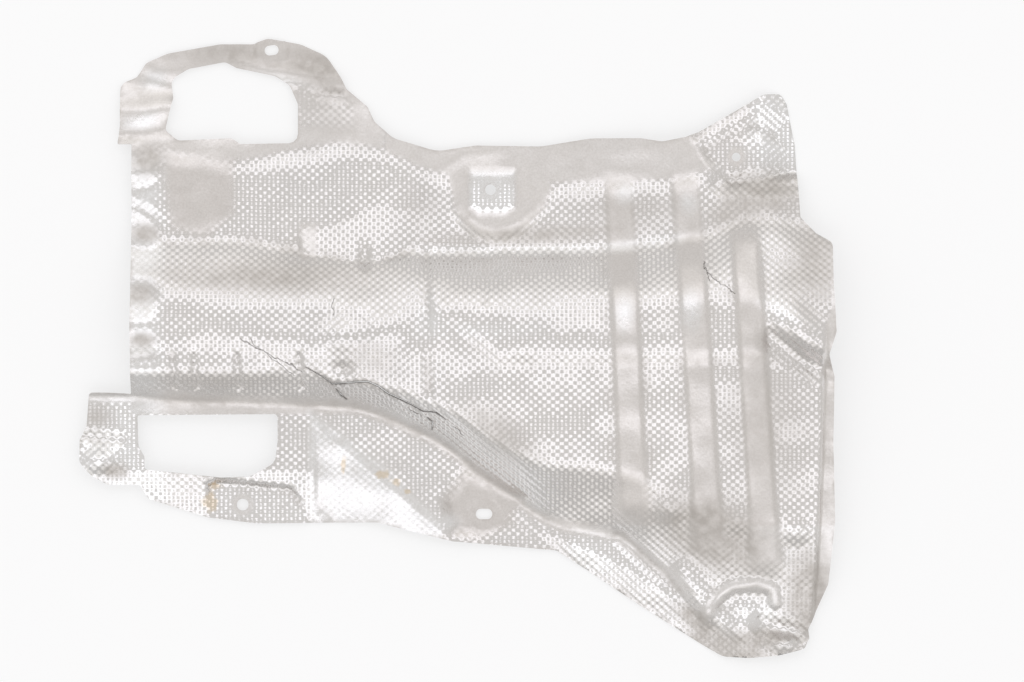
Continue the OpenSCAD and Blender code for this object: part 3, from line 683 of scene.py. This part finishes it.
dot = put(hairline, "ShaderNodeVectorMath", {0: out, 1: run}, operation="DOT_PRODUCT").outputs["Value"]
whole = put(hairline, "ShaderNodeVectorMath", {0: run, 1: run}, operation="DOT_PRODUCT").outputs["Value"]
part = put(hairline, "ShaderNodeMath", {0: dot, 1: whole}, operation="DIVIDE", use_clamp=True).outputs[0]
foot_point = put(hairline, "ShaderNodeVectorMath", {0: run, "Scale": part}, operation="SCALE").outputs[0]
gap = put(hairline, "ShaderNodeVectorMath", {0: out, 1: foot_point}, operation="DISTANCE").outputs["Value"]
line = put(hairline, "ShaderNodeMapRange", {"Value": gap, "From Min": given["Width"], "From Max": 0.0},
           interpolation_type="SMOOTHSTEP").outputs[0]
hairline.links.new(line, result["Mask"])

clean_metal = (0.72, 0.70, 0.69, 1)
matt_metal = (0.78, 0.75, 0.73, 1)
# Painted shade: a darker grey for the parts of the sheet that lie in shade
painted_shade_grey = (0.66, 0.625, 0.60, 1)
# Painted highlight: a brighter grey where the sheet catches the light
painted_highlight_grey = (0.84, 0.835, 0.835, 1)
dark_specks = (0.86, 0.85, 0.84, 1)
brown_grey = (0.52, 0.49, 0.46, 1)
scorch = (0.70, 0.56, 0.38, 1)
# Painted shade: the dark grey along cracks and sharp small creases, where shade lies in the gap or fold
crack_shade = (0.12, 0.11, 0.10, 1)
scorch_share, crack_shade_share = 0.55, 0.8
# Depth in metres of the dimples' sharper edges and of the grain
lattice_depth, grain_depth = 0.00012, 0.00005
# Yellow-brown heat stains, as middle and size in millimetres
stains = [((-210, -131), (7, 12)), ((-96, -98), (3, 9)), ((-64, -106), (7, 5)), ((-52, -114), (6, 4)),
          ((-206, -117), (7, 4)), ((-42, -122), (5, 3))]
# Hairline cracks and sharp small creases, drawn as lines of painted shade and as grooves, as start, end and
# width in millimetres
hairlines = [((-181, 7), (-130, -19), 0.55), ((-174, 7), (-137, -24), 0.4), ((211, 64), (234, 45), 0.55),
             ((207, 74), (213, 57), 0.45), ((-1, -66), (7, -74), 0.5), ((-104, 43), (-104, 28), 0.4),
             ((-44, -48), (-30, -58), 0.4)]

aluminium = bpy.data.materials.new("embossed aluminium")
aluminium.use_nodes = True
metal = aluminium.node_tree
shader = metal.nodes["Principled BSDF"]
shader.inputs["Metallic"].default_value = 1
sheet.data.materials.append(aluminium)


def placed(group, **wires):
    """One use of an effect in the sheet's material."""
    return put(metal, "ShaderNodeGroup", wires, node_tree=group).outputs[0]


def tinted(under, over, share):
    """The colour over laid on the colour under by a share."""
    return put(metal, "ShaderNodeMix", {0: share, 6: under, 7: over}, data_type="RGBA").outputs[2]


def carried(name):
    """A value that the mesh carries at its points."""
    return put(metal, "ShaderNodeAttribute", {}, attribute_name=name).outputs["Fac"]


at = put(metal, "ShaderNodeTexCoord", {}).outputs["Object"]
ironed, hollow, trimmed = carried("ironed"), carried("hollow"), carried("trimmed")
across = sum_of(metal, "MULTIPLY", put(metal, "ShaderNodeSeparateXYZ", {0: at}).outputs["X"], 1000)
lattice_height = placed(dimples, Across=across, Along=carried("rolled"), Ironed=ironed)
broad = placed(patches, Vector=at, Scale=9.0, From=0.35, To=0.65)
mottle = placed(patches, Vector=at, Scale=120.0, From=0.3, To=0.7)
grain = placed(patches, Vector=at, Scale=620.0, From=0.25, To=0.75)
grime = placed(patches, Vector=at, Scale=60.0, From=0.42, To=0.62)

matt = sum_of(metal, "MULTIPLY_ADD", ironed, 0.65, sum_of(metal, "MULTIPLY", broad, 0.35))
colour = tinted(clean_metal, matt_metal, matt)
# Painted shade: darker grey on the left pad, the pocket, the foot and the beads
colour = tinted(colour, painted_shade_grey, sum_of(metal, "MULTIPLY", carried("painted_shade_amount"), 0.75))
# Painted highlight: brighter metal on the painted highlight spots, broken up by the mottle
highlight_share = sum_of(metal, "MULTIPLY", carried("painted_highlight"), sum_of(metal, "MULTIPLY_ADD", mottle, 0.35, 0.65))
colour = tinted(colour, painted_highlight_grey, highlight_share)
specks = sum_of(metal, "MULTIPLY", grain, sum_of(metal, "MULTIPLY_ADD", ironed, 0.5, 0.3))
dark_grain = tinted((1, 1, 1, 1), dark_specks, specks)
colour = put(metal, "ShaderNodeMix", {0: 1.0, 6: colour, 7: dark_grain}, data_type="RGBA",
             blend_type="MULTIPLY").outputs[2]
# Darker, towards brown-grey, where the sheet lies lower than the metal round it, unevenly in the grime
# patches; the brown film and the grime at the cut edges are added to it
darkened = sum_of(metal, "MULTIPLY", hollow, sum_of(metal, "MULTIPLY_ADD", grime, 0.35, 0.1))
film = sum_of(metal, "MULTIPLY", carried("filmed"), sum_of(metal, "MULTIPLY_ADD", mottle, 0.25, 0.7))
darkened = sum_of(metal, "MAXIMUM", darkened, film)
dirty_edge = sum_of(metal, "MULTIPLY", trimmed, sum_of(metal, "MULTIPLY", grime, 0.6))
darkened = sum_of(metal, "MAXIMUM", darkened, dirty_edge)
colour = tinted(colour, brown_grey, darkened)
scorched = 0.0
for (x, y), (half_x, half_y) in stains:
    mark = placed(stain, Vector=at, Middle=(x * MM, y * MM, 0), Size=(half_x * MM, half_y * MM, 1))
    scorched = sum_of(metal, "MAXIMUM", scorched, mark)
colour = tinted(colour, scorch, sum_of(metal, "MULTIPLY", scorched, scorch_share))
# Painted shade along the cracks' torn edges and the hairlines; the same lines are grooves in the bump below
crack_marks = sum_of(metal, "POWER", carried("torn"), 3)
for (x, y), (end_x, end_y), width in hairlines:
    mark = placed(hairline, Vector=at, Start=(x * MM, y * MM, 0), End=(end_x * MM, end_y * MM, 0),
                  Width=width * MM)
    crack_marks = sum_of(metal, "MAXIMUM", crack_marks, mark)
colour = tinted(colour, crack_shade, sum_of(metal, "MULTIPLY", crack_marks, crack_shade_share))
metal.links.new(colour, shader.inputs["Base Color"])

rough = sum_of(metal, "MULTIPLY_ADD", ironed, 0.15, 0.13)
rough = sum_of(metal, "MULTIPLY_ADD", mottle, 0.1, rough)
rough = sum_of(metal, "MULTIPLY_ADD", darkened, 0.3, rough)
rough = sum_of(metal, "MULTIPLY_ADD", highlight_share, -0.08, rough)
metal.links.new(rough, shader.inputs["Roughness"])

lattice_bump = put(metal, "ShaderNodeBump", {"Height": lattice_height, "Distance": lattice_depth})
grain_height = sum_of(metal, "MULTIPLY_ADD", mottle, 1.6, grain)
grain_height = sum_of(metal, "MULTIPLY", grain_height, sum_of(metal, "MULTIPLY_ADD", ironed, 0.8, 0.2))
grain_height = sum_of(metal, "MULTIPLY_ADD", crack_marks, -4.0, grain_height)
grain_bump = put(metal, "ShaderNodeBump", {"Height": grain_height, "Distance": grain_depth,
                                           "Normal": lattice_bump.outputs[0]})
metal.links.new(grain_bump.outputs[0], shader.inputs["Normal"])


# The floor: a plain sheet of white paper that the shield lies on. Seen by the camera or in the
# metal, most of its paleness is its own, so the shield's shadow on it stays faint.
floor_size, floor_level, own_paleness = 12, -0.0006, 0.6
bpy.ops.object.select_all(action="DESELECT")
bpy.ops.mesh.primitive_plane_add(size=floor_size, location=(0, 0, floor_level))
floor = bpy.context.object
floor.name = "floor"
paper = bpy.data.materials.new("pale floor")
paper.use_nodes = True
tree = paper.node_tree
paper_shader = tree.nodes["Principled BSDF"]
paper_shader.inputs["Base Color"].default_value = (0.92, 0.92, 0.925, 1)
paper_shader.inputs["Roughness"].default_value = 0.9
glow = tree.nodes.new("ShaderNodeEmission")
glow.inputs["Color"].default_value = (1, 1, 1, 1)
rays = tree.nodes.new("ShaderNodeLightPath")
seen = put(tree, "ShaderNodeMath", {0: rays.outputs["Is Camera Ray"], 1: rays.outputs["Is Glossy Ray"]},
           operation="MAXIMUM")
seen = put(tree, "ShaderNodeMath", {0: seen.outputs[0], 1: rays.outputs["Is Transmission Ray"]},
           operation="MAXIMUM")
share = put(tree, "ShaderNodeMath", {0: seen.outputs[0], 1: own_paleness}, operation="MULTIPLY")
blend = put(tree, "ShaderNodeMixShader",
            {0: share.outputs[0], 1: paper_shader.outputs[0], 2: glow.outputs[0]})
tree.links.new(blend.outputs[0], tree.nodes["Material Output"].inputs["Surface"])
floor.data.materials.append(paper)

# Soft studio light: a pale dome with a long soft light on each side of the table, above and
# below the shield in plan. Each stop is the angle from straight up towards such a light, in
# degrees, and its strength, and the lights fade out towards their ends.
dome_strength = 0.8
upper_stops = [(0, 0.82), (17, 0.82), (24, 1.45), (36, 1.45), (44, 1.05), (60, 1.1), (70, 0.76), (90, 0.78)]
lower_stops = [(0, 0.82), (14, 0.82), (20, 1.45), (36, 1.45), (44, 1.05), (57, 1.0), (66, 0.66), (90, 0.62)]
brightest, dome_tint, light_tint, lowest_light = 2.0, (1.012, 1, 0.985), (1, 1, 1.03), 1.2
end_fade_from, end_fade_to = 0.35, 0.8
world = bpy.data.worlds.new("studio")
bpy.context.scene.world = world
world.use_nodes = True
tree = world.node_tree
skyward = put(tree, "ShaderNodeTexCoord", {}).outputs["Generated"]
way = put(tree, "ShaderNodeSeparateXYZ", {0: skyward}).outputs
lean = sum_of(tree, "ARCTAN2", sum_of(tree, "ABSOLUTE", way["Y"]), way["Z"])
glows = []
for stops in (upper_stops, lower_stops):
    ramp = put(tree, "ShaderNodeValToRGB", {"Fac": sum_of(tree, "DIVIDE", lean, math.pi / 2)})
    for k, (degrees, strength) in enumerate(stops):
        stop = ramp.color_ramp.elements[k] if k < 2 else ramp.color_ramp.elements.new(degrees / 90)
        stop.position = degrees / 90
        tints = dome_tint if strength < lowest_light else light_tint
        stop.color = [strength / brightest * tint for tint in tints] + [1]
    glows.append(ramp.outputs["Color"])
above = sum_of(tree, "GREATER_THAN", way["Y"], 0.0)
lights = put(tree, "ShaderNodeMix", {0: above, 6: glows[1], 7: glows[0]}, data_type="RGBA").outputs[2]
endward = sum_of(tree, "ABSOLUTE", way["X"])
end_fade = put(tree, "ShaderNodeMapRange",
               {"Value": endward, "From Min": end_fade_from, "From Max": end_fade_to},
               interpolation_type="SMOOTHSTEP").outputs[0]
dome_grey = [dome_strength / brightest * tint for tint in dome_tint] + [1]
dome = put(tree, "ShaderNodeMix", {0: end_fade, 6: lights, 7: dome_grey}, data_type="RGBA").outputs[2]
tree.links.new(dome, tree.nodes["Background"].inputs["Color"])
tree.nodes["Background"].inputs["Strength"].default_value = brightest

# The camera looks straight down with a long lens, as the photo does. The frame is 1024 by 682
# pixels of 0.85 mm, and object_px is where the shield's origin falls in it.
photo_scale = 0.85 * MM
frame_px, middle_px, object_px = 1024, (512, 341), (457, 348)
camera_height, sensor_w = 5.0, 36
camera_data = bpy.data.cameras.new("camera")
camera_data.sensor_width = sensor_w
camera_data.lens = sensor_w * camera_height / (frame_px * photo_scale)
camera = bpy.data.objects.new("camera", camera_data)
bpy.context.scene.collection.objects.link(camera)
camera.location = ((middle_px[0] - object_px[0]) * photo_scale, (object_px[1] - middle_px[1]) * photo_scale,
                   camera_height)
bpy.context.scene.camera = camera
bpy.context.scene.view_settings.view_transform = "Standard"
